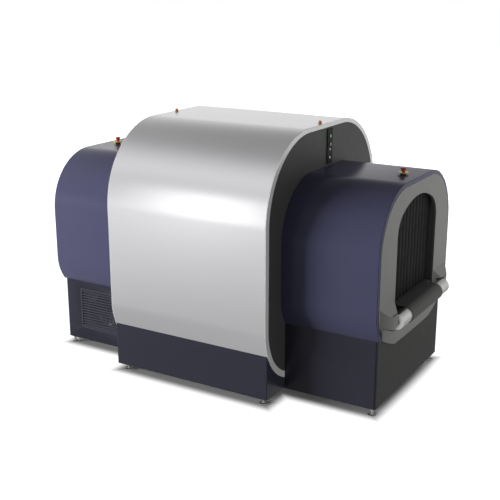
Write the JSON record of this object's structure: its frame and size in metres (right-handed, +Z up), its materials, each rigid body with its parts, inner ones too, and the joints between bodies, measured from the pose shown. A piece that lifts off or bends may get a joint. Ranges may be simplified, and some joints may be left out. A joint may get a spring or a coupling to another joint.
{
  "type": "baggage ct scanner",
  "caption": "Walk-up baggage CT scanner: a belt runs through an arched tunnel, past strip curtains, inside a spinning X-ray gantry under a rounded silver cover and navy hoods.",
  "frame": {"origin": "middle of the machine on the floor", "axes": "+X along the belt towards the entry end, -Y is the front, +Z up"},
  "size_m": [2.5244, 1.504, 1.615],
  "materials": {
    "navy_paint": "glossy clear-coated navy",
    "silver_paint": "satin metallic silver",
    "charcoal_paint": "fine matt charcoal",
    "bezel_plastic": "smooth satin grey",
    "frame_paint": "grey primer",
    "shield_paint": "matt grey",
    "steel": "turned and brushed",
    "aluminium": "machined",
    "liner_composite": "smooth off-white",
    "belt_rubber": "fine matt texture",
    "curtain_rubber": "matt",
    "dark_metal": "satin dark grey",
    "board_green": "satin grey green",
    "brass": "turned",
    "black_plastic": "satin black",
    "yellow_plastic": "glossy yellow",
    "red_plastic": "glossy red",
    "green_lens": "clear green lens",
    "white_lens": "milky lens",
    "amber_lens": "clear amber lens"
  },
  "bodies": {
    "scanner": {"center_plinth": "navy_paint", "entry_hood": "navy_paint", "exit_hood": "navy_paint", "entry_plinth": "navy_paint", "exit_plinth": "navy_paint", "vent_grille": "navy_paint", "center_cover": "silver_paint", "entry_wall": "charcoal_paint", "exit_wall": "charcoal_paint", "end_panels": "charcoal_paint", "entry_bezel": "bezel_plastic", "exit_bezel": "bezel_plastic", "roller_arms": "bezel_plastic", "base_frame": "frame_paint", "gantry_stand": "frame_paint", "conveyor_legs": "frame_paint", "entry_shield": "shield_paint", "exit_shield": "shield_paint", "roller_axles": "steel", "roller_bearings": "steel", "leveling_feet": "steel", "lock_nuts": "steel", "conveyor_bed": "steel", "curtain_rods": "steel", "bearing_outer": "steel", "tunnel_liner": "liner_composite", "conveyor_belt": "belt_rubber", "drive_belt": "belt_rubber", "gantry_motor": "dark_metal", "computer": "dark_metal", "power_unit": "dark_metal", "brush_block": "black_plastic", "fan_frame": "black_plastic", "estop_bases": "black_plastic", "control_strip": "black_plastic", "estop_discs": "yellow_plastic", "indicator_lamps": "white_lens", "beacon_lamps": "amber_lens"},
    "rotor": {"bearing_inner": "steel", "rotor_ring": "aluminium", "xray_tube": "aluminium", "collimator": "dark_metal", "detector_array": "dark_metal", "hv_generator": "dark_metal", "tube_cooler": "aluminium", "data_module": "board_green", "counterweight": "dark_metal", "slip_ring": "brass"},
    "pulley": {"motor_pulley": "steel"},
    "entry_drum": {"entry_roller": "steel"},
    "exit_drum": {"exit_roller": "steel"},
    "entry_return": {"entry_idler": "steel"},
    "exit_return": {"exit_idler": "steel"},
    "fan": {"fan_impeller": "black_plastic"},
    "entry_strips": {"entry_curtain": "curtain_rubber"},
    "exit_strips": {"exit_curtain": "curtain_rubber"},
    "entry_stop": {"entry_estop": "red_plastic"},
    "exit_stop": {"exit_estop": "red_plastic"},
    "start": {"start_button": "green_lens"},
    "key": {"key_switch": "steel"}
  },
  "joints": [
    {"name": "gantry_spin", "type": "hinge", "parent": "scanner", "child": "rotor", "pos_m": [0, 0, 0.88], "axis": [1, 0, 0], "continuous": true},
    {"name": "pulley_spin", "type": "hinge", "parent": "scanner", "child": "pulley", "pos_m": [0, 0.54, 0.35], "axis": [1, 0, 0], "continuous": true},
    {"name": "entry_roller_spin", "type": "hinge", "parent": "scanner", "child": "entry_drum", "pos_m": [1.21, 0, 0.56], "axis": [0, 1, 0], "continuous": true},
    {"name": "exit_roller_spin", "type": "hinge", "parent": "scanner", "child": "exit_drum", "pos_m": [-1.21, 0, 0.56], "axis": [0, 1, 0], "continuous": true},
    {"name": "entry_idler_spin", "type": "hinge", "parent": "scanner", "child": "entry_return", "pos_m": [0.63, 0, 0.4874], "axis": [0, 1, 0], "continuous": true},
    {"name": "exit_idler_spin", "type": "hinge", "parent": "scanner", "child": "exit_return", "pos_m": [-0.63, 0, 0.4874], "axis": [0, 1, 0], "continuous": true},
    {"name": "fan_spin", "type": "hinge", "parent": "scanner", "child": "fan", "pos_m": [-0.854, -0.47, 0.2735], "axis": [0, 1, 0], "continuous": true},
    {"name": "entry_curtain_swing", "type": "hinge", "parent": "scanner", "child": "entry_strips", "pos_m": [1.13, 0, 1.25], "axis": [0, 1, 0], "range_deg": [0, 60]},
    {"name": "exit_curtain_swing", "type": "hinge", "parent": "scanner", "child": "exit_strips", "pos_m": [-1.13, 0, 1.25], "axis": [0, -1, 0], "range_deg": [0, 60]},
    {"name": "entry_estop_push", "type": "slide", "parent": "scanner", "child": "entry_stop", "axis": [0, 0, -1], "range_m": [0, 0.005]},
    {"name": "exit_estop_push", "type": "slide", "parent": "scanner", "child": "exit_stop", "axis": [0, 0, -1], "range_m": [0, 0.005]},
    {"name": "start_button_push", "type": "slide", "parent": "scanner", "child": "start", "axis": [-1, 0, 0], "range_m": [0, 0.0025], "stiffness_N_per_m": 400, "springref_m": -0.001},
    {"name": "key_turn", "type": "hinge", "parent": "scanner", "child": "key", "pos_m": [0.564, 0.0345, 1.46408], "axis": [1, 0, 0], "range_deg": [0, 90]}
  ],
  "couplings": [
    {"joint": "pulley_spin", "follows": "gantry_spin", "ratio": 14.243},
    {"joint": "exit_roller_spin", "follows": "entry_roller_spin", "ratio": 1},
    {"joint": "entry_idler_spin", "follows": "entry_roller_spin", "ratio": -2.4},
    {"joint": "exit_idler_spin", "follows": "entry_roller_spin", "ratio": -2.4}
  ]
}
